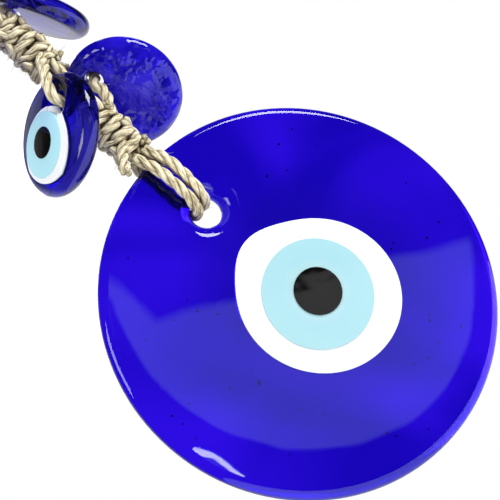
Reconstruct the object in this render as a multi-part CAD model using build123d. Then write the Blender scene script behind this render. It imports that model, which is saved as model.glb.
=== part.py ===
from build123d import *
import math
import os

os.makedirs("parts", exist_ok=True)

# Evil eye ornament hung from its cord loop. Row frame in mm: origin where the
# inside of the loop rests on its nail, +Z up, the painted eyes towards -Y.

# ---- main sizes ----
cord_diameter = 3.6
hole_drop = 175.0

disc_radius = 60.0
disc_front_rise = 5.5
disc_back_depth = 4.5
disc_rim_radius = 3.0
disc_hole_radius = 4.7
disc_hole_offset = 38.0
disc_front_lip = 5.3
disc_back_lip = 3.0

bead_front_rise = 4.4
bead_back_depth = 3.6
bead_rim_radius = 3.2
bead_hole_radius = 2.8
bead_hole_offset = 9.6
bead_lip = 2.3
bead_eye_edge_gap = 0.4

# heights above the axis of the big hole
low_knot_bottom = 26.0
low_knot_top = 45.0
up_knot_bottom = 62.5
up_knot_top = 84.5
top_knot_bottom = 97.5
top_knot_top = 117.4
loop_ball_height = 118.0
loop_shoulder_height = 150.0

knot_core_width = 8.6
knot_core_depth = 5.6
knot_band_width = 10.6
knot_band_depth = 7.2
knot_band_height = 4.0
knot_band_tilt = 12.0
knot_corner = 1.6
low_knot_x = -1.3


def place(x, y, height):
    """A point given by its height above the axis of the big hole."""
    return Vector(x, y, height - hole_drop)


def save(shape, name):
    shape.label = name
    export_step(shape, "parts/" + name + ".step")


# ---- glass blanks and their eyes, built facing -Y about their own hole ----
def ring_profile(points_and_arcs, centre_height):
    """Revolve a closed outline in (radius, y) about the axis through centre_height."""
    outline = make_face(points_and_arcs)
    solid = revolve(outline, axis=Axis((0, 0, 0), (0, 1, 0)))
    return Pos(0, 0, centre_height) * solid


def glass_blank(radius, front_rise, back_depth, rim_radius, drop):
    """Domed disc with a fully rounded rim; its centre lies below the hole."""
    flat_radius = radius - rim_radius
    front_mid = front_rise - (front_rise - rim_radius) / 4
    back_mid = back_depth - (back_depth - rim_radius) / 4
    front = ThreePointArc(
        (0, -front_rise), (flat_radius / 2, -front_mid), (flat_radius, -rim_radius)
    )
    rim = ThreePointArc(
        (flat_radius, -rim_radius), (radius, 0), (flat_radius, rim_radius)
    )
    back = ThreePointArc(
        (flat_radius, rim_radius), (flat_radius / 2, back_mid), (0, back_depth)
    )
    middle = Line((0, back_depth), (0, -front_rise))
    return ring_profile([front, rim, back, middle], -drop)


def hole_cutter(throat, front_lip, back_lip, front_y, back_y):
    """Round hole with rounded lips on both faces."""
    reach = 12.0
    front_ring = throat + front_lip
    back_ring = throat + back_lip
    front_throat = front_y + front_lip
    back_throat = back_y - back_lip
    slant = math.sqrt(0.5)
    front_arc = ThreePointArc(
        (front_ring, front_y),
        (front_ring - front_lip * slant, front_throat - front_lip * slant),
        (throat, front_throat),
    )
    wall = Line((throat, front_throat), (throat, back_throat))
    back_arc = ThreePointArc(
        (throat, back_throat),
        (back_ring - back_lip * slant, back_throat + back_lip * slant),
        (back_ring, back_y),
    )
    ends = Polyline(
        (back_ring, back_y),
        (back_ring, reach),
        (0, reach),
        (0, -reach),
        (front_ring, -reach),
        (front_ring, front_y),
    )
    return ring_profile([front_arc, wall, back_arc, ends], 0)


def eye_core(outline_face, floor_y):
    """Everything in front of floor_y inside an outline drawn in X and Z."""
    return extrude(outline_face, amount=20.0, dir=(0, -1, 0)).moved(
        Location((0, floor_y, 0))
    )


def raised_dome(radius, front_rise, rim_radius, drop, lift):
    """The front dome of a blank raised by lift, with a flat back."""
    flat_radius = radius - rim_radius
    front_mid = front_rise - (front_rise - rim_radius) / 4
    front = ThreePointArc(
        (0, -front_rise - lift),
        (flat_radius / 2, -front_mid - lift),
        (flat_radius, -rim_radius - lift),
    )
    ends = Polyline(
        (flat_radius, -rim_radius - lift),
        (flat_radius, 0),
        (0, 0),
        (0, -front_rise - lift),
    )
    return ring_profile([front, ends], -drop)


def round_outline(centre_x, centre_z, radius):
    """A circle in X and Z, as a face."""
    plane = Plane(origin=(centre_x, 0, centre_z), x_dir=(1, 0, 0), z_dir=(0, -1, 0))
    return plane * Circle(radius)


def drop_outline(centre_x, centre_z, radius, corner_reach, corner_angle, steps):
    """The white drop: nearly round, with one blunt corner towards the hole."""
    points = []
    for step in range(steps):
        angle = 2 * math.pi * step / steps
        lean = math.cos(angle + math.radians(75))
        oval = math.cos(2 * (angle - math.radians(135)))
        turn = (math.degrees(angle) - corner_angle + 180) % 360 - 180
        corner = corner_reach * math.exp(-((turn / 24.0) ** 2))
        reach = radius * (1 + 0.042 * lean + 0.025 * oval) + corner
        points.append((reach * math.cos(angle), reach * math.sin(angle)))
    plane = Plane(origin=(centre_x, 0, centre_z), x_dir=(1, 0, 0), z_dir=(0, -1, 0))
    return plane * make_face(Spline(points, periodic=True))


def eye_disc(blank_size, hole_size, drop_size, blue_size, pupil_size, floors, lifts):
    """Glass with its hole, and the three nested layers of the eye."""
    radius, front_rise, back_depth, rim_radius, drop = blank_size
    throat, front_lip, back_lip = hole_size
    surface_fall = (front_rise - rim_radius) * (drop / (radius - rim_radius)) ** 2
    front_y = -(front_rise - surface_fall)
    back_fall = (back_depth - rim_radius) * (drop / (radius - rim_radius)) ** 2
    back_y = back_depth - back_fall
    glass = glass_blank(radius, front_rise, back_depth, rim_radius, drop)
    hole = hole_cutter(throat, front_lip, back_lip, front_y, back_y)
    inside_rim = radius - rim_radius - bead_eye_edge_gap
    limit = eye_core(round_outline(0, -drop, inside_rim), floors[0])
    white_core = (eye_core(drop_outline(*drop_size), floors[0]) & limit) - hole
    glass -= hole
    blue_core = eye_core(round_outline(*blue_size), floors[1])
    pupil_core = eye_core(round_outline(*pupil_size), floors[2])
    glass -= white_core
    white = raised_dome(radius, front_rise, rim_radius, drop, lifts[0]) & white_core
    white -= blue_core
    blue = raised_dome(radius, front_rise, rim_radius, drop, lifts[1]) & blue_core
    blue -= pupil_core
    pupil = raised_dome(radius, front_rise, rim_radius, drop, lifts[2]) & pupil_core
    return [glass, white, blue, pupil]


def save_eye(pieces, name, location):
    """Write the four nodes of one glass eye in its place."""
    for piece, ending in zip(pieces, ["glass", "white", "blue", "pupil"]):
        save(piece.moved(location), name + "_" + ending)


def big_disc():
    """The large glass eye, its hole on the Y axis of its own frame."""
    return eye_disc(
        (disc_radius, disc_front_rise, disc_back_depth, disc_rim_radius,
         disc_hole_offset),
        (disc_hole_radius, disc_front_lip, disc_back_lip),
        (3.0, -40.5, 24.1, 2.6, 98.0, 40),
        (3.0, -40.8, 16.9),
        (3.4, -40.3, 7.3),
        (-2.6, -3.6, -4.4),
        (0.5, 0.9, 1.2),
    )


def bead(radius):
    """One small glass eye, its hole on the Y axis of its own frame."""
    middle = -bead_hole_offset - 3.8
    return eye_disc(
        (radius, bead_front_rise, bead_back_depth, bead_rim_radius, bead_hole_offset),
        (bead_hole_radius, bead_lip, bead_lip),
        (0.8, middle, 11.8, 0.8, 90.0, 32),
        (-0.6, middle, 9.9),
        (-0.4, middle + 0.6, 4.7),
        (-1.6, -2.3, -2.9),
        (0.35, 0.65, 0.9),
    )


def bead_frame(hole, face, hang):
    """Where a bead sits: hole centre, direction it faces, direction it hangs."""
    face = Vector(*face).normalized()
    hang = Vector(*hang)
    hang = (hang - face * hang.dot(face)).normalized()
    return Plane(origin=hole, x_dir=face.cross(hang), z_dir=hang * -1).location


# ---- cords ----
def arc_radii(points):
    """Bend radius at each inner point, from its shorter run and its turn."""
    radii = []
    for index in range(1, len(points) - 1):
        before = points[index] - points[index - 1]
        after = points[index + 1] - points[index]
        turn = math.radians(before.get_angle(after))
        shorter = min(before.length, after.length)
        radii.append(0.45 * shorter / math.tan(turn / 2))
    return radii


def cord(points, name):
    """A round cord of straight runs and arcs through its corner points."""
    radii = arc_radii(points)
    line = FilletPolyline(*points, radius=radii)
    start = Plane(origin=line @ 0, z_dir=line % 0)
    tube = sweep(start * Circle(cord_diameter / 2), path=line)
    section = math.pi * cord_diameter ** 2 / 4
    print(name, "length", round(line.length, 1), "radii", [round(r, 1) for r in radii])
    print(name, "volume / (section x length)", round(tube.volume / section / line.length, 3))
    return tube


def hanging_loop():
    """The open loop above the top knot; its two ends are ball shaped."""
    ball_x = 2.2
    top = cord_diameter / 2 + hole_drop
    points = [
        place(-ball_x, 0, loop_ball_height),
        place(-8.2, 0, loop_shoulder_height),
        place(-7.6, 0, top),
        place(7.6, 0, top),
        place(8.2, 0, loop_shoulder_height),
        place(ball_x, 0, loop_ball_height),
    ]
    loop = cord(points, "hanging_loop")
    for side in (-1, 1):
        ball = Sphere(cord_diameter / 2).moved(
            Location(place(side * ball_x, 0, loop_ball_height))
        )
        loop += ball
    return loop


def knot_run(bottom, top, centre_x, count):
    """One run of square knots as its outer shape: a core and tilted bands."""
    length = top - bottom
    core = Box(knot_core_width, knot_core_depth, length)
    core = fillet(core.edges().filter_by(Axis.Z), knot_corner)
    shape = core.moved(Location(place(centre_x, 0, (top + bottom) / 2)))
    pitch = (length - knot_band_height - 1.0) / (count - 1)
    for index in range(count):
        height = bottom + 0.5 + knot_band_height / 2 + index * pitch
        tilt = knot_band_tilt if index % 2 == 0 else -knot_band_tilt
        band = Box(knot_band_width, knot_band_depth, knot_band_height - 0.6)
        band = fillet(band.edges(), knot_corner)
        if index == 0 or index == count - 1:
            tilt = tilt / 4
        band = band.rotate(Axis.Y, tilt)
        shape += band.moved(Location(place(centre_x, 0, height)))
    return shape


def top_knot():
    """The upper run of knots, with two seats for the ball ends of the loop."""
    knot = knot_run(top_knot_bottom, top_knot_top, 0, 5)
    for side in (-1, 1):
        knot -= Sphere(cord_diameter / 2).moved(
            Location(place(side * 2.2, 0, loop_ball_height))
        )
    return knot


def core_strand(x, y, bottom, top):
    """A straight strand in the open gap between two runs of knots."""
    strand = Cylinder(cord_diameter / 2, top - bottom)
    return strand.moved(Location(place(x, y, (top + bottom) / 2)))


def disc_loop(side_name, top_x, front_x, hole_x, hole_height, back_x):
    """One of the two strands that pass through the big hole, ending at the knot."""
    points = [
        place(top_x, -2.3, low_knot_bottom),
        place(top_x, -2.3, low_knot_bottom - 1.4),
        place(front_x, -7.0, 18.0),
        place(hole_x, -6.5, hole_height),
        place(hole_x, 6.6, hole_height),
        place(back_x, 7.0, 18.0),
        place(top_x, 2.3, low_knot_bottom - 1.4),
        place(top_x, 2.3, low_knot_bottom),
    ]
    return cord(points, "disc_loop_" + side_name)


def strung_cord(points, name, knots):
    """A bead's strand between two runs of knots, ending on their surfaces."""
    tube = cord([place(*point) for point in points], name)
    for knot in knots:
        tube -= knot
    solids = tube.solids()
    return max(solids, key=lambda solid: solid.volume)


def along(hole, face, distance):
    """A point on the axis of a bead's hole."""
    face = Vector(*face).normalized()
    spot = Vector(*hole) + face * distance
    return (spot.X, spot.Y, spot.Z)


# ---- knots ----
low_knot = knot_run(low_knot_bottom, low_knot_top, low_knot_x, 5)
up_knot = knot_run(up_knot_bottom, up_knot_top, 0, 5)
upper_knot = top_knot()
save(low_knot, "low_knots")
save(up_knot, "middle_knots")
save(upper_knot, "top_knots")
save(hanging_loop(), "hanging_loop")

# ---- the two pairs of straight strands between the knots ----
save(core_strand(1.2, -1.3, low_knot_top, up_knot_bottom), "low_strand_right")
save(core_strand(-0.8, 1.8, low_knot_top, up_knot_bottom), "low_strand_left")
save(core_strand(0.4, -1.85, up_knot_top, top_knot_bottom), "high_strand_front")
save(core_strand(-0.4, 1.85, up_knot_top, top_knot_bottom), "high_strand_back")

# ---- the big disc on its two strands ----
save(disc_loop("left", -3.4, -2.2, -2.1, 1.5, -2.4), "disc_loop_left")
save(disc_loop("right", 0.7, 2.2, 1.55, 2.05, 1.9), "disc_loop_right")
save_eye(big_disc(), "disc", Location(place(0, 0, 0)))

# ---- the four beads: hole centre, facing direction, hanging direction ----
low_left_hole = (-7.3, -9.6, 50.0)
low_left_face = (-0.659, -0.425, 0.621)
low_left_hang = (-0.738, 0.526, -0.423)
low_right_hole = (10.3, 7.0, 53.2)
low_right_face = (0.693, 0.644, 0.324)
low_right_hang = (0.341, 0.103, -0.934)
high_right_hole = (9.1, 4.3, 88.2)
high_right_face = (0.879, -0.215, 0.426)
high_right_hang = (0.46, 0.617, -0.638)
high_left_hole = (-9.8, -3.5, 86.1)
high_left_face = (-0.654, 0.1, 0.75)
high_left_hang = (-0.754, -0.16, -0.636)

for name, radius, hole, face, hang in [
    ("low_left", 18.5, low_left_hole, low_left_face, low_left_hang),
    ("low_right", 18.0, low_right_hole, low_right_face, low_right_hang),
    ("high_right", 18.5, high_right_hole, high_right_face, high_right_hang),
    ("high_left", 18.0, high_left_hole, high_left_face, high_left_hang),
]:
    save_eye(bead(radius), name, bead_frame(place(*hole), face, hang))

# ---- the strand each bead is threaded on ----
save(
    strung_cord(
        [
            (0.5, -1.0, 68.0),
            (-5.0, -10.0, 61.8),
            along(low_left_hole, low_left_face, 6.0),
            along(low_left_hole, low_left_face, -5.5),
            (-2.5, -1.0, 42.0),
        ],
        "low_left_cord",
        [low_knot, up_knot],
    ),
    "low_left_cord",
)
save(
    strung_cord(
        [
            (1.5, 1.0, 66.5),
            (8.3, 14.5, 60.8),
            along(low_right_hole, low_right_face, 6.9),
            along(low_right_hole, low_right_face, -5.2),
            (8.0, 2.0, 46.5),
            (2.0, -0.5, 40.0),
        ],
        "low_right_cord",
        [low_knot, up_knot],
    ),
    "low_right_cord",
)
save(
    strung_cord(
        [
            (1.0, 0.0, 100.8),
            (11.0, 0.0, 98.0),
            along(high_right_hole, high_right_face, 5.3),
            along(high_right_hole, high_right_face, -5.2),
            (1.5, 0.8, 81.0),
        ],
        "high_right_cord",
        [up_knot, upper_knot],
    ),
    "high_right_cord",
)
save(
    strung_cord(
        [
            (-1.0, 0.0, 100.8),
            (-10.5, -1.0, 98.0),
            along(high_left_hole, high_left_face, 5.3),
            along(high_left_hole, high_left_face, -5.2),
            (-1.0, -1.5, 78.0),
        ],
        "high_left_cord",
        [up_knot, upper_knot],
    ),
    "high_left_cord",
)

# ---- the cut end that sticks out of the lowest knot ----
save(
    strung_cord(
        [(-2.0, -1.5, 31.0), (-7.2, -5.0, 29.0), (-10.8, -9.6, 23.6)],
        "loose_end",
        [low_knot],
    ),
    "loose_end",
)
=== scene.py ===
import math
import random

import bmesh
import bpy
import numpy as np
from mathutils import Matrix, Vector


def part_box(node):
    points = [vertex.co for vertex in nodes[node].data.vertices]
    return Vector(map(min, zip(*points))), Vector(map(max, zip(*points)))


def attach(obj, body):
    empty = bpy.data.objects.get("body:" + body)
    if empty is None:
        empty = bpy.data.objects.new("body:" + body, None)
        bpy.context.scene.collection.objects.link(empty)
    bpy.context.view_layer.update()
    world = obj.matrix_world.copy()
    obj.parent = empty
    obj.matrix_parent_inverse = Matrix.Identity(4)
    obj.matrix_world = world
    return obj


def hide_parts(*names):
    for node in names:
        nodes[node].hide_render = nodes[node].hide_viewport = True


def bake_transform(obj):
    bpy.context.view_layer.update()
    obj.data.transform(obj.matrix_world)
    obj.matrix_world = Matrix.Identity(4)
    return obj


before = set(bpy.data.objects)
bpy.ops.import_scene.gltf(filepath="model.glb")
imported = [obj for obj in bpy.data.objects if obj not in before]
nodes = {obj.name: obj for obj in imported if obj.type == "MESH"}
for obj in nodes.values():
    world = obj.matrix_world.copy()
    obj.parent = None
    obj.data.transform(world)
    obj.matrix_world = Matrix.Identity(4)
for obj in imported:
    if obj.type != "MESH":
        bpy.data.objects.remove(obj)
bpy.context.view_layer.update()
rng = random.Random(11)
FULL_TURN = 2 * math.pi
ANY_ANGLE = (0, 6.28)

# ---- sizes in metres ----
HOLE_DROP = 0.175  # from the inside of the hanging loop to the axis of the big hole
CORD = 0.0036

# ---- the three runs of knots: heights above the axis of the big hole, in mm ----
LOW_BOTTOM, LOW_TOP = 26.0, 45.0
MID_BOTTOM, MID_TOP = 62.5, 84.5
TOP_BOTTOM, TOP_TOP = 97.5, 117.4
LOW_X = -1.3

# ---- each bead: the middle of its hole in mm, and the way its eye looks ----
LOW_LEFT = ((-7.3, -9.6, 50.0), (-0.659, -0.425, 0.621))
LOW_RIGHT = ((10.3, 7.0, 53.2), (0.693, 0.644, 0.324))
HIGH_RIGHT = ((9.1, 4.3, 88.2), (0.879, -0.215, 0.426))
HIGH_LEFT = ((-9.8, -3.5, 86.1), (-0.654, 0.1, 0.75))
DISC_FACE = (0.0, -1.0, 0.0)  # the way the big eye looks


def at(x, y, height):
    """A point given in mm, with its height above the axis of the big hole."""
    return Vector((x / 1000, y / 1000, height / 1000 - HOLE_DROP))


# ---- camera: long lens, a little left of the front and below, rolled ----
CAMERA_PLACE = (-0.23849, -0.65589, -0.2424)
CAMERA_RIGHT = (0.6541, -0.1825, -0.7340)
CAMERA_UP = (0.6747, -0.2979, 0.6753)
CAMERA_BACK = (-0.3419, -0.9370, -0.0718)
SENSOR_MM, LENS_MM = 36.0, 171.1
NEAREST, FARTHEST = 0.05, 20.0


def add_camera():
    """The camera of the photograph's view, made the scene's own."""
    data = bpy.data.cameras.new("camera")
    data.sensor_width = SENSOR_MM
    data.lens = LENS_MM
    data.clip_start = NEAREST
    data.clip_end = FARTHEST
    camera = bpy.data.objects.new("camera", data)
    bpy.context.scene.collection.objects.link(camera)
    turn = Matrix((CAMERA_RIGHT, CAMERA_UP, CAMERA_BACK)).transposed().to_4x4()
    camera.matrix_world = Matrix.Translation(CAMERA_PLACE) @ turn
    bpy.context.scene.camera = camera


add_camera()


# ---- node helpers ----
class Nodes:
    """Adds and links shader nodes of one tree."""

    def __init__(self, tree):
        self.tree = tree
        tree.nodes.clear()

    def add(self, kind, inputs=None, **settings):
        node = self.tree.nodes.new(kind)
        for key, value in settings.items():
            setattr(node, key, value)
        for key, value in (inputs or {}).items():
            if isinstance(value, bpy.types.NodeSocket):
                self.tree.links.new(value, node.inputs[key])
            else:
                node.inputs[key].default_value = value
        return node

    def math(self, operation, first, second=0.0, clamp=False):
        node = self.add("ShaderNodeMath", {0: first, 1: second}, operation=operation)
        node.use_clamp = clamp
        return node.outputs[0]

    def plus(self, first, second):
        return self.math("ADD", first, second)

    def minus(self, first, second):
        return self.math("SUBTRACT", first, second)

    def times(self, first, second):
        return self.math("MULTIPLY", first, second)

    def edge(self, amount, sharpness):
        """0 where the amount is negative, rising to 1 over 1 / sharpness."""
        return self.math("MULTIPLY", amount, sharpness, clamp=True)

    def vector_value(self, operation, first, second):
        """One number from two vectors."""
        node = self.add(
            "ShaderNodeVectorMath", {0: first, 1: second}, operation=operation
        )
        return node.outputs["Value"]

    def bump(self, height, depth, strength=1.0):
        node = self.add(
            "ShaderNodeBump",
            {"Strength": strength, "Distance": depth, "Height": height},
        )
        return node.outputs[0]

    def principled(self, inputs):
        """The surface shader, joined to the output."""
        shader = self.add("ShaderNodeBsdfPrincipled", inputs)
        self.add("ShaderNodeOutputMaterial", {"Surface": shader.outputs[0]})
        return shader

    def mix(self, factor, first, second):
        """The first colour where factor is 0, the second where it is 1."""
        node = self.add("ShaderNodeMix", data_type="RGBA")
        for key, value in (("Factor", factor), ("A", first), ("B", second)):
            socket = [s for s in node.inputs if s.name == key and s.enabled][0]
            if isinstance(value, bpy.types.NodeSocket):
                self.tree.links.new(value, socket)
            else:
                socket.default_value = value
        return [s for s in node.outputs if s.enabled][0]

    def ramp(self, factor, stops):
        """A colour from (position, colour) pairs, in order of position."""
        node = self.add("ShaderNodeValToRGB", {"Fac": factor})
        band = node.color_ramp
        band.elements[0].position, band.elements[0].color = stops[0]
        band.elements[1].position, band.elements[1].color = stops[-1]
        for place, colour in stops[1:-1]:
            band.elements.new(place).color = colour
        return node.outputs[0]


def new_material(name):
    material = bpy.data.materials.new(name)
    material.use_nodes = True
    return material, Nodes(material.node_tree)


def noise(n, vector, scale, detail=3.0, rough=0.55, bend=0.0):
    node = n.add(
        "ShaderNodeTexNoise",
        {
            "Vector": vector,
            "Scale": scale,
            "Detail": detail,
            "Roughness": rough,
            "Distortion": bend,
        },
    )
    return node.outputs[0]


def place_socket(n):
    return n.add("ShaderNodeTexCoord").outputs["Object"]


def corner_middle(name):
    """The middle of a CAD node's box."""
    low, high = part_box(name)
    return tuple((a + b) / 2 for a, b in zip(low, high))


# ---- materials ----
FIBRE_ROUND, FIBRE_ALONG = 17.0, 9.0  # streaks round a ply, and along its map
JUTE_PATCH_SCALE = 260.0
FIBRE_SHARE, PATCH_SHARE = 0.7, 0.3
# painted shade: how far the occlusion looks, and how hard it darkens the grooves
GROOVE_SHADE_REACH, GROOVE_SHADE_POWER = 0.0016, 2.2


def jute_material(name, light, middle, dark_and_shade):
    """Twisted plant fibre: fine streaks along the ply, with painted shade in its
    grooves.
    """
    material, n = new_material(name)
    uv = n.add("ShaderNodeUVMap", uv_map="strand").outputs[0]
    stretched = n.add(
        "ShaderNodeMapping", {"Vector": uv, "Scale": (FIBRE_ROUND, FIBRE_ALONG, 1.0)}
    )
    fibre = noise(n, stretched.outputs[0], 1.0, detail=4.0, rough=0.6)
    patch = noise(n, place_socket(n), JUTE_PATCH_SCALE)
    streak = n.plus(n.times(fibre, FIBRE_SHARE), n.times(patch, PATCH_SHARE))
    fibre_colour = n.ramp(streak, [(0.36, dark_and_shade), (0.46, middle), (0.56, light)])
    # painted shade: occlusion mixes the dark fibre colour into the grooves between
    # plies and wraps
    occlusion = n.add(
        "ShaderNodeAmbientOcclusion", {"Distance": GROOVE_SHADE_REACH}, samples=8
    )
    painted_groove_shade = n.math("POWER", occlusion.outputs["AO"], GROOVE_SHADE_POWER)
    n.principled(
        {
            "Base Color": n.mix(painted_groove_shade, dark_and_shade, fibre_colour),
            "Roughness": 0.82,
            "Normal": n.bump(fibre, depth=0.00025, strength=0.55),
        }
    )
    return material


# painted shadow in the disc's glass round its eye
SHADE_END, SHADE_WIDTH = 0.042, 0.018  # distances from the middle of the eye
SHADE_PART = 0.55
SHADE_BLUE = (0.006, 0.002, 0.33, 1)


def eye_shade(n, place, colour):
    """Painted shadow: darker glass close round the eye, where the drop keeps the light
    out.
    """
    away = n.vector_value("DISTANCE", place, corner_middle("disc_white"))
    near = n.math("DIVIDE", n.minus(SHADE_END, away), SHADE_WIDTH, clamp=True)
    return n.mix(n.times(near, SHADE_PART), colour, SHADE_BLUE)


def blue_glass_material(name, deep, pale, patch_scale, wave, clear=1.0, shaded=False):
    """Poured cobalt glass in patches deep to pale; wave is its scale and depth."""
    material, n = new_material(name)
    place = place_socket(n)
    wave_scale, wave_depth = wave
    height = noise(n, place, wave_scale, detail=2.0, rough=0.45)
    patch = noise(n, place, patch_scale, detail=2.0, rough=0.5, bend=0.7)
    colour = n.ramp(patch, [(0.40, deep), (0.60, pale)])
    # shaded adds the painted shadow round the eye
    if shaded:
        colour = eye_shade(n, place, colour)
    n.principled(
        {
            "Base Color": colour,
            "Roughness": 0.015,
            "IOR": 1.5,
            "Transmission Weight": clear,
            "Normal": n.bump(height, wave_depth),
        }
    )
    return material


# painted light: a faint glow on the back of each eye's white drop
PAINTED_GLOW_COLOUR = (0.55, 0.6, 1.0, 1)
PAINTED_GLOW_STRENGTH = 0.6
BACK_START, BACK_SHARPNESS = -0.05, 12.0
UNEVEN_SCALE, UNEVEN_PART = 180.0, 0.10
SURFACE_SCALE, SURFACE_DEPTH = 90.0, 0.0003


def enamel_material(name, centre, reach, stops, face=None):
    """Opal glass whose colour changes gently away from its centre.

    face is the way the eye looks. With it the back glows a little, painted light in
    place of the light that opal glass passes.
    """
    material, n = new_material(name)
    place = place_socket(n)
    away = n.vector_value("DISTANCE", place, centre)
    uneven = n.times(noise(n, place, UNEVEN_SCALE, detail=2.0), UNEVEN_PART)
    part = n.plus(n.math("DIVIDE", away, reach), uneven)
    surface = noise(n, place, SURFACE_SCALE, detail=2.0)
    shader = n.principled(
        {
            "Base Color": n.ramp(part, stops),
            "Roughness": 0.07,
            "Normal": n.bump(surface, SURFACE_DEPTH, strength=0.5),
        }
    )
    # painted light: the back of the drop glows
    if face:
        normal = n.add("ShaderNodeTexCoord").outputs["Normal"]
        turned = n.vector_value("DOT_PRODUCT", normal, face)
        back = n.edge(n.minus(BACK_START, turned), BACK_SHARPNESS)
        painted_glow = n.times(back, PAINTED_GLOW_STRENGTH)
        n.tree.links.new(painted_glow, shader.inputs["Emission Strength"])
        shader.inputs["Emission Color"].default_value = PAINTED_GLOW_COLOUR
    return material


JUTE = jute_material(
    "jute",
    light=(0.97, 0.90, 0.66, 1),
    middle=(0.60, 0.51, 0.29, 1),
    dark_and_shade=(0.11, 0.072, 0.027, 1),
)
DISC_BLUE = blue_glass_material(
    "disc_blue_glass",
    deep=(0.008, 0.0005, 0.50, 1),
    pale=(0.026, 0.003, 0.80, 1),
    patch_scale=18.0,
    wave=(20.0, 0.00018),
    shaded=True,
)
NAVY = blue_glass_material(
    "navy_glass",
    deep=(0.001, 0.0005, 0.07, 1),
    pale=(0.004, 0.002, 0.22, 1),
    patch_scale=75.0,
    wave=(45.0, 0.0005),
)
COBALT = blue_glass_material(
    "cobalt_glass",
    deep=(0.006, 0.002, 0.42, 1),
    pale=(0.030, 0.014, 0.76, 1),
    patch_scale=110.0,
    wave=(190.0, 0.0011),
    clear=0.35,
)
SEED = blue_glass_material(
    "seed_glass",
    deep=(0.002, 0.001, 0.10, 1),
    pale=(0.002, 0.002, 0.16, 1),
    patch_scale=90.0,
    wave=(400.0, 0.0001),
)


def shade_smooth(mesh):
    for face in mesh.polygons:
        face.use_smooth = True


def paint(name, material):
    """Gives a CAD node its material."""
    mesh = nodes[name].data
    mesh.materials.clear()
    mesh.materials.append(material)
    shade_smooth(mesh)


def paint_eye(name, glass, size, face, tone=1.0):
    """The four glass nodes of one eye; size is the radius of its white drop.

    tone darkens the light blue.
    """
    centre = corner_middle(name + "_pupil")
    white = [
        (0.0, (0.90, 0.93, 0.95, 1)),
        (0.90, (0.93, 0.95, 0.97, 1)),
        (1.05, (0.78, 0.84, 0.96, 1)),
    ]
    blue = [
        (reach, (red * tone, green * tone, azure * tone, 1))
        for reach, red, green, azure in (
            (0.28, 0.56, 0.84, 0.90),
            (0.45, 0.46, 0.81, 0.90),
            (0.72, 0.48, 0.83, 0.91),
        )
    ]
    pupil = [(0.0, (0.004, 0.004, 0.005, 1)), (0.34, (0.001, 0.001, 0.001, 1))]
    paint(name + "_glass", glass)
    # the white drop's back gets the painted glow
    opal = enamel_material(name + "_white_glass", centre, size, white, face)
    paint(name + "_white", opal)
    paint(name + "_blue", enamel_material(name + "_blue_glass", centre, size, blue))
    paint(name + "_pupil", enamel_material(name + "_pupil_glass", centre, size, pupil))


DISC_DROP, BEAD_DROP = 0.0265, 0.0150
paint_eye("disc", DISC_BLUE, DISC_DROP, DISC_FACE, tone=0.72)
for bead_name, glass, bead in (
    ("low_left", NAVY, LOW_LEFT),
    ("high_right", NAVY, HIGH_RIGHT),
    ("low_right", COBALT, LOW_RIGHT),
    ("high_left", COBALT, HIGH_LEFT),
):
    paint_eye(bead_name, glass, BEAD_DROP, bead[1])


# ---- strands ----
CURVE_STEPS = 16
ACROSS_START = (0.31, 0.87, 0.38)  # a direction that no strand starts along


def smooth_line(points):
    """Points along the NURBS spline that has these points as its controls."""
    data = bpy.data.curves.new("route", "CURVE")
    data.dimensions = "3D"
    data.resolution_u = CURVE_STEPS
    spline = data.splines.new("NURBS")
    spline.points.add(len(points) - 1)
    for slot, point in zip(spline.points, points):
        slot.co = (point[0], point[1], point[2], 1.0)
    spline.order_u = 3
    spline.use_endpoint_u = True
    holder = bpy.data.objects.new("route", data)
    mesh = bpy.data.meshes.new_from_object(holder)
    line = [vertex.co.copy() for vertex in mesh.vertices]
    bpy.data.objects.remove(holder)
    bpy.data.curves.remove(data)
    bpy.data.meshes.remove(mesh)
    return line


def even_steps(line, step):
    """The same line with points at an even spacing, and their places along it."""
    points = np.array([tuple(p) for p in line])
    gaps = np.linalg.norm(np.diff(points, axis=0), axis=1)
    along = np.concatenate([[0.0], np.cumsum(gaps)])
    count = max(4, int(along[-1] / step) + 1)
    marks = np.linspace(0.0, along[-1], count)
    return np.stack([np.interp(marks, along, points[:, k]) for k in range(3)], 1), marks


def side_frames(points):
    """Two directions across the line at each point, untwisted, and its tangents."""
    tangents = np.gradient(points, axis=0)
    tangents /= np.linalg.norm(tangents, axis=1)[:, None]
    first = np.zeros_like(points)
    start = np.cross(tangents[0], ACROSS_START)
    first[0] = start / np.linalg.norm(start)
    for index in range(1, len(points)):
        side = first[index - 1]
        side = side - tangents[index] * side.dot(tangents[index])
        first[index] = side / np.linalg.norm(side)
    return first, np.cross(tangents, first), tangents


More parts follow.
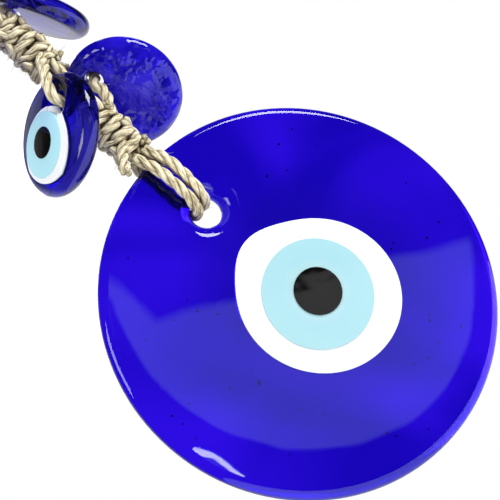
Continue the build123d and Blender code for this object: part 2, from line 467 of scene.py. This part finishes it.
class Tubes:
    """Collects tubes into one mesh, with a map that runs along each of them."""

    def __init__(self):
        self.verts, self.faces, self.maps, self.count = [], [], [], 0

    def tube(self, points, radii, sides, along):
        """One closed tube; along is the map's second value at each point."""
        first, second, tangents = side_frames(points)
        angles = np.linspace(0, FULL_TURN, sides, endpoint=False)
        ring = first[:, None] * np.cos(angles)[None, :, None]
        ring = ring + second[:, None] * np.sin(angles)[None, :, None]
        radii = np.asarray(radii)
        if radii.ndim == 1:
            radii = radii[:, None] * np.ones(sides)[None]
        verts = points[:, None] + ring * radii[:, :, None]
        base, rows = self.count, len(points)
        self.verts.append(verts.reshape(-1, 3))
        for row in range(rows - 1):
            for side in range(sides):
                after = (side + 1) % sides
                a = base + row * sides + side
                b = base + row * sides + after
                self.faces.append((a, b, b + sides, a + sides))
                self.maps += [
                    (side / sides, along[row]),
                    ((side + 1) / sides, along[row]),
                    ((side + 1) / sides, along[row + 1]),
                    (side / sides, along[row + 1]),
                ]
        for row, turn in ((0, -1), (rows - 1, 1)):
            order = list(range(sides))[::turn]
            self.faces.append(tuple(base + row * sides + k for k in order))
            self.maps += [(k / sides, along[row]) for k in order]
        self.count += rows * sides

    def build(self, name, material):
        """The object of all the tubes so far."""
        mesh = bpy.data.meshes.new(name)
        verts = np.concatenate(self.verts)
        mesh.from_pydata([tuple(v) for v in verts], [], self.faces)
        layer = mesh.uv_layers.new(name="strand")
        flat = np.array(self.maps, dtype=np.float32).reshape(-1)
        layer.data.foreach_set("uv", flat)
        return add_object(name, mesh, material)


def add_object(name, mesh, material):
    """A smooth-shaded object of that mesh and material, put in the scene."""
    shade_smooth(mesh)
    mesh.materials.append(material)
    piece = bpy.data.objects.new(name, mesh)
    bpy.context.scene.collection.objects.link(piece)
    return piece


def wobble(count, size, reach):
    """A slow random wave of the given size, one value per point.

    reach is the number of points from one random value to the next.
    """
    knots = max(3, int(count / reach))
    values = [rng.uniform(-size, size) for _ in range(knots + 1)]
    return np.interp(np.linspace(0, knots, count), np.arange(knots + 1), values)


ROPE_STEP = 0.00035
PLIES, PLY_SIDES = 3, 11
PITCH, PLY_REACH, PLY_RADIUS = 4.0, 0.245, 0.268  # in cord diameters
MAP_PER_METRE = 40
HAIR_POINTS, HAIR_SIDES = 6, 3
HAIR_LENGTH = (0.0010, 0.0034)
HAIR_RADII = (0.00006, 0.00003)  # at its root and at its tip
HAIR_CURL = (-0.5, 0.5)
HAIR_LIFT = 0.42
HAIR_MAP = 0.2


def rope(tubes, line, diameter=CORD, hairs=0.5):
    """Three plies twisted round the line, with loose hairs; hairs are per mm."""
    points, marks = even_steps(line, ROPE_STEP)
    first, second, tangents = side_frames(points)
    phase = rng.uniform(*ANY_ANGLE)
    for index in range(PLIES):
        start = phase + index * FULL_TURN / PLIES
        turn = start + FULL_TURN * marks / (diameter * PITCH)
        sway = diameter * PLY_REACH * (1 + wobble(len(points), size=0.08, reach=14))
        centre = points + first * (np.cos(turn) * sway)[:, None]
        centre = centre + second * (np.sin(turn) * sway)[:, None]
        radius = diameter * PLY_RADIUS * (1 + wobble(len(points), size=0.07, reach=9))
        ridge = np.ones((len(points), PLY_SIDES))
        for column in range(PLY_SIDES):
            ridge[:, column] += wobble(len(points), size=0.055, reach=22)
        shift = rng.uniform(0, 1)
        along = marks * MAP_PER_METRE + shift
        tubes.tube(centre, radius[:, None] * ridge, PLY_SIDES, along)
    length_mm = marks[-1] * 1000
    for _ in range(int(length_mm * hairs)):
        hair(tubes, points, first, second, tangents, diameter)


def hair(tubes, points, first, second, tangents, diameter):
    """One loose fibre that leaves the cord at a low angle and curls."""
    start = rng.randrange(2, len(points) - 3)
    angle = rng.uniform(*ANY_ANGLE)
    out = first[start] * math.cos(angle) + second[start] * math.sin(angle)
    heading = tangents[start] * rng.choice((-1, 1))
    length = rng.uniform(*HAIR_LENGTH)
    curl = np.cross(out, heading) * rng.uniform(*HAIR_CURL)
    t = np.linspace(0, 1, HAIR_POINTS)[:, None]
    rise = HAIR_LIFT * (diameter + length * t**1.4)
    spots = points[start] + heading * length * t + out * rise + curl * length * t**2
    radii = np.linspace(*HAIR_RADII, HAIR_POINTS)
    tubes.tube(spots, radii, HAIR_SIDES, np.linspace(0, HAIR_MAP, HAIR_POINTS))


def build_jute(tubes, name, node):
    """The piece made of these tubes, in place of that CAD node."""
    piece = tubes.build(name, JUTE)
    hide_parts(node)
    return piece


def along_hole(hole, face, distance):
    """A point on the axis of a bead's hole, in mm."""
    face = Vector(face).normalized()
    return tuple(Vector(hole) + face * distance)


def add_cord(name, route, node, body=None, blend=None):
    """A free cord of plies along the route's spline; it rides body, or stays on no body
    when blend is given.
    """
    line = smooth_line([at(*point) for point in route])
    tubes = Tubes()
    rope(tubes, line)
    piece = build_jute(tubes, name, node)
    if blend:
        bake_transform(piece)
    else:
        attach(piece, body)


add_cord(
    "low_left_strand",
    [
        (0.5, -1.0, 68.0),
        (-5.0, -10.0, 61.8),
        along_hole(*LOW_LEFT, 6.0),
        along_hole(*LOW_LEFT, -5.5),
        (-2.5, -1.0, 42.0),
    ],
    "low_left_cord",
    body="rope",
)
add_cord(
    "low_right_strand",
    [
        (1.5, 1.0, 66.5),
        (8.3, 14.5, 60.8),
        along_hole(*LOW_RIGHT, 6.9),
        along_hole(*LOW_RIGHT, -5.2),
        (8.0, 2.0, 46.5),
        (2.0, -0.5, 40.0),
    ],
    "low_right_cord",
    body="rope",
)
add_cord(
    "high_right_strand",
    [
        (1.0, 0.0, 100.8),
        (11.0, 0.0, 98.0),
        along_hole(*HIGH_RIGHT, 5.3),
        along_hole(*HIGH_RIGHT, -5.2),
        (1.5, 0.8, 81.0),
    ],
    "high_right_cord",
    body="rope",
)
add_cord(
    "high_left_strand",
    [
        (-1.0, 0.0, 100.8),
        (-10.5, -1.0, 98.0),
        along_hole(*HIGH_LEFT, 5.3),
        along_hole(*HIGH_LEFT, -5.2),
        (-1.0, -1.5, 78.0),
    ],
    "high_left_cord",
    body="rope",
)
# SLING_BLEND names the rope and sling bodies and a stretch of the strands; it is not
# used, and the sling strands ride no body
SLING_BLEND = ("rope", "sling", at(-1.35, 0.0, 27.0), at(-1.35, 0.0, 19.0))
for side, top_x, front_x, hole_x, hole_height, back_x in (
    ("left", -3.4, -2.2, -2.1, 1.5, -2.4),
    ("right", 0.7, 2.2, 1.55, 2.05, 1.9),
):
    add_cord(
        "sling_strand_" + side,
        [
            (top_x, -2.3, 26.0),
            (top_x, -2.3, 24.6),
            (front_x, -7.0, 18.0),
            (hole_x, -6.5, hole_height),
            (hole_x, 6.6, hole_height),
            (back_x, 7.0, 18.0),
            (top_x, 2.3, 24.6),
            (top_x, 2.3, 26.0),
        ],
        "disc_loop_" + side,
        blend=SLING_BLEND,
    )
add_cord(
    "top_loop",
    [
        (-2.2, 0.0, 117.0),
        (-8.2, 0.0, 150.0),
        (-7.6, 0.0, 176.8),
        (7.6, 0.0, 176.8),
        (8.2, 0.0, 150.0),
        (2.2, 0.0, 117.0),
    ],
    "hanging_loop",
    body="loop",
)


# ---- runs of square knots, in mm ----
CORD_MM = CORD * 1000
ACROSS, DEPTH = 4.5, 2.4  # how far a working strand goes sideways, and before or behind
TUCK = 0.95
CROSSING_RISE = 0.16
STEPS_PER_KNOT = 12
JOG = 0.34
CORE_X, CORE_Y = 1.7, 0.2


def knot_strand(bottom, centre_x, count, pitch, front):
    """The way of one working strand: from side to side, always before or behind."""
    spots = []
    for step in range(count * STEPS_PER_KNOT + 1):
        t = step / STEPS_PER_KNOT
        swing = math.cos(math.pi * t)
        lift = abs(math.sin(math.pi * t)) ** 0.7
        x = front * ACROSS * math.copysign(abs(swing) ** 0.85, swing)
        y = front * DEPTH * (lift - TUCK * (1.0 - lift))
        z = bottom + pitch * (t + CROSSING_RISE * math.sin(FULL_TURN * t))
        jogs = [rng.uniform(-JOG, JOG) for _ in range(3)]
        spots.append(at(centre_x + x + jogs[0], y + jogs[1], z + jogs[2]))
    return spots


def add_knots(name, node, bottom, top, centre_x, count):
    """One run of square knots: two working strands round two straight ones."""
    tubes = Tubes()
    margin = CORD_MM * 0.4
    pitch = (top - bottom - 2 * margin) / count
    for front in (-1, 1):
        way = knot_strand(bottom + margin, centre_x, count, pitch, front)
        rope(tubes, smooth_line(way), hairs=0.8)
    for side in (-1, 1):
        x, y = centre_x + side * CORE_X, side * CORE_Y
        way = [at(x, y, bottom + k * (top - bottom) / 4) for k in range(5)]
        rope(tubes, way, diameter=CORD * 0.9, hairs=0.1)
    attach(build_jute(tubes, name, node), "rope")


add_knots("low_knot_run", "low_knots", LOW_BOTTOM, LOW_TOP, LOW_X, 4)
add_knots("mid_knot_run", "middle_knots", MID_BOTTOM, MID_TOP, 0.0, 5)
add_knots("top_knot_run", "top_knots", TOP_BOTTOM, TOP_TOP, 0.0, 4)


def add_straight(name, node, x, y, bottom, top):
    """One straight strand in the gap between two runs, bowed out a little."""
    tubes = Tubes()
    middle = (bottom + top) / 2
    way = [at(x, y, bottom - 2), at(x * 1.1, y * 1.05, middle), at(x, y, top + 2)]
    rope(tubes, smooth_line(way))
    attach(build_jute(tubes, name, node), "rope")


LOW_GAP, HIGH_GAP = (LOW_TOP, MID_BOTTOM), (MID_TOP, TOP_BOTTOM)
add_straight("core_low_right", "low_strand_right", 1.2, -1.3, *LOW_GAP)
add_straight("core_low_left", "low_strand_left", -0.8, 1.8, *LOW_GAP)
add_straight("core_high_front", "high_strand_front", 0.4, -1.85, *HIGH_GAP)
add_straight("core_high_back", "high_strand_back", -0.4, 1.85, *HIGH_GAP)


def add_loose_end():
    """The cut end beside the lowest knot, more hairy than the rest."""
    tubes = Tubes()
    line = smooth_line(
        [at(-2.0, -1.5, 31.0), at(-7.2, -5.0, 29.0), at(-10.8, -9.6, 23.6)]
    )
    rope(tubes, line, hairs=1.5)
    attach(build_jute(tubes, "cut_end", "loose_end"), "rope")


add_loose_end()


# ---- seeds: the tiny bubbles inside the big disc ----
DISC_DROP_Z, SEEDED_RADIUS = -0.038, 0.054
HOLE_CLEAR = 0.013
EYE_X, EYE_Z, EYE_CLEAR = 0.003, -0.041, 0.028
SEED_RADIUS = (0.00014, 0.00036)
SEED_DEPTH = (-0.0018, 0.0022)
SEED_STRETCH = (1, 1.8)
SEED_SPIN = (0, 3.14)


def add_seeds(count):
    """Tiny bubbles at random, but not at the hole or under the eye."""
    mesh = bmesh.new()
    for _ in range(count):
        angle = rng.uniform(0, FULL_TURN)
        reach = SEEDED_RADIUS * math.sqrt(rng.random())
        x = reach * math.sin(angle)
        z = DISC_DROP_Z + reach * math.cos(angle)
        near_hole = math.hypot(x, z) < HOLE_CLEAR
        near_eye = math.hypot(x - EYE_X, z - EYE_Z) < EYE_CLEAR
        if near_hole or near_eye:
            continue
        size = rng.uniform(*SEED_RADIUS)
        y = rng.uniform(*SEED_DEPTH)
        longer = size * rng.uniform(*SEED_STRETCH)
        stretch = Matrix.Diagonal((longer, size, size, 1))
        spin = Matrix.Rotation(rng.uniform(*SEED_SPIN), 4, "Y")
        spot = Matrix.Translation((x, y, z - HOLE_DROP))
        bmesh.ops.create_icosphere(
            mesh, subdivisions=2, radius=1.0, matrix=spot @ spin @ stretch
        )
    data = bpy.data.meshes.new("disc_seeds")
    mesh.to_mesh(data)
    mesh.free()
    piece = add_object("disc_seeds", data, SEED)
    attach(piece, "disc")


add_seeds(70)


# ---- studio ----
# Mirror reflections see one light box, an oval in x and z of the reflected direction.
# Above a slope it is cut off, but not at its left.
BOX_X, BOX_Z = 0.356, 0.078
BOX_HALF_X, BOX_HALF_Z = 0.226, 0.246
BOX_SHARPNESS = 45.0
CUT_X, CUT_SLOPE, CUT_HEIGHT, CUT_SHARPNESS = 0.2, 0.62, 0.158, 70.0
LEFT_OF = 0.198
BOX_LEVEL, DIM_LEVEL = 0.78, 0.03
WHITE_FROM, WHITE_SHARPNESS = 0.5, 3.0
SOFT_LEVEL, SOFT_TILT = 0.72, 0.20


def mirror_level(n, x, y, z):
    """What a mirror reflection sees: white behind, and a dim front with a box."""
    dx = n.math("DIVIDE", n.minus(x, BOX_X), BOX_HALF_X)
    dz = n.math("DIVIDE", n.minus(z, BOX_Z), BOX_HALF_Z)
    from_middle = n.math("SQRT", n.plus(n.times(dx, dx), n.times(dz, dz)))
    inside = n.edge(n.minus(1.0, from_middle), BOX_SHARPNESS)
    slope = n.plus(z, n.times(n.minus(x, CUT_X), CUT_SLOPE))
    below = n.edge(n.minus(CUT_HEIGHT, slope), CUT_SHARPNESS)
    aside = n.edge(n.minus(LEFT_OF, x), CUT_SHARPNESS)
    lit = n.times(inside, n.math("MAXIMUM", below, aside))
    front = n.plus(n.times(lit, BOX_LEVEL), DIM_LEVEL)
    behind = n.edge(n.minus(y, WHITE_FROM), WHITE_SHARPNESS)
    return n.plus(behind, n.times(n.minus(1.0, behind), front))


def add_world():
    """A white room, brighter from the upper right for matt surfaces."""
    world = bpy.data.worlds.new("studio")
    bpy.context.scene.world = world
    world.use_nodes = True
    n = Nodes(world.node_tree)
    way = n.add("ShaderNodeTexCoord").outputs["Generated"]
    x, y, z = n.add("ShaderNodeSeparateXYZ", {0: way}).outputs
    path = n.add("ShaderNodeLightPath").outputs
    reflected = n.minus(1.0, path["Is Transmission Ray"])
    mirror = n.times(path["Is Glossy Ray"], reflected)
    soft = n.plus(SOFT_LEVEL, n.times(n.plus(x, z), SOFT_TILT))
    plain = n.plus(1.0, n.times(path["Is Diffuse Ray"], n.minus(soft, 1.0)))
    change = n.times(mirror, n.minus(mirror_level(n, x, y, z), plain))
    back = n.add(
        "ShaderNodeBackground",
        {"Color": (1, 1, 1, 1), "Strength": n.plus(plain, change)},
    )
    n.add("ShaderNodeOutputWorld", {"Surface": back.outputs[0]})


def add_light(name, place, target, size, power, roll=0.0):
    """A rectangular area light aimed at the target; roll turns it about its aim."""
    data = bpy.data.lights.new(name, "AREA")
    data.shape = "RECTANGLE"
    data.size, data.size_y = size
    data.energy = power
    light = bpy.data.objects.new(name, data)
    bpy.context.scene.collection.objects.link(light)
    light.location = place
    aim = Vector(target) - Vector(place)
    turn = aim.to_track_quat("-Z", "Y").to_matrix() @ Matrix.Rotation(roll, 3, "Z")
    light.rotation_euler = turn.to_euler()


FLOOR_LEVEL, FLOOR_RADIUS, FLOOR_SIDES = -0.42, 0.5, 64


def add_floor():
    """A plain pale round floor, well below the hanging object."""
    verts = [(0.0, 0.0, FLOOR_LEVEL)]
    for step in range(FLOOR_SIDES):
        angle = FULL_TURN * step / FLOOR_SIDES
        x, y = FLOOR_RADIUS * math.cos(angle), FLOOR_RADIUS * math.sin(angle)
        verts.append((x, y, FLOOR_LEVEL))
    faces = [(0, k + 1, (k + 1) % FLOOR_SIDES + 1) for k in range(FLOOR_SIDES)]
    mesh = bpy.data.meshes.new("floor")
    mesh.from_pydata(verts, [], faces)
    material, n = new_material("floor_paint")
    n.principled({"Base Color": (0.85, 0.85, 0.86, 1), "Roughness": 0.7})
    add_object("floor", mesh, material)


add_world()
MIDDLE = (0.0, 0.0, -0.16)
add_light("key", (0.75, -0.62, 0.30), MIDDLE, (0.45, 0.45), power=9.0)
add_light("fill", (-0.85, -0.55, 0.45), MIDDLE, (0.5, 0.5), power=5.0)
add_light("back_fill", (0.1, 0.9, 0.25), MIDDLE, (0.6, 0.6), power=3.0)
add_light(
    "strip",
    place=(0.0565, -0.99, -0.2535),
    target=(-0.053, -0.004, -0.225),
    size=(0.0055, 0.085),
    power=0.018,
    roll=0.237,
)
add_floor()

scene = bpy.context.scene
scene.view_settings.view_transform = "Standard"
scene.view_settings.look = "None"
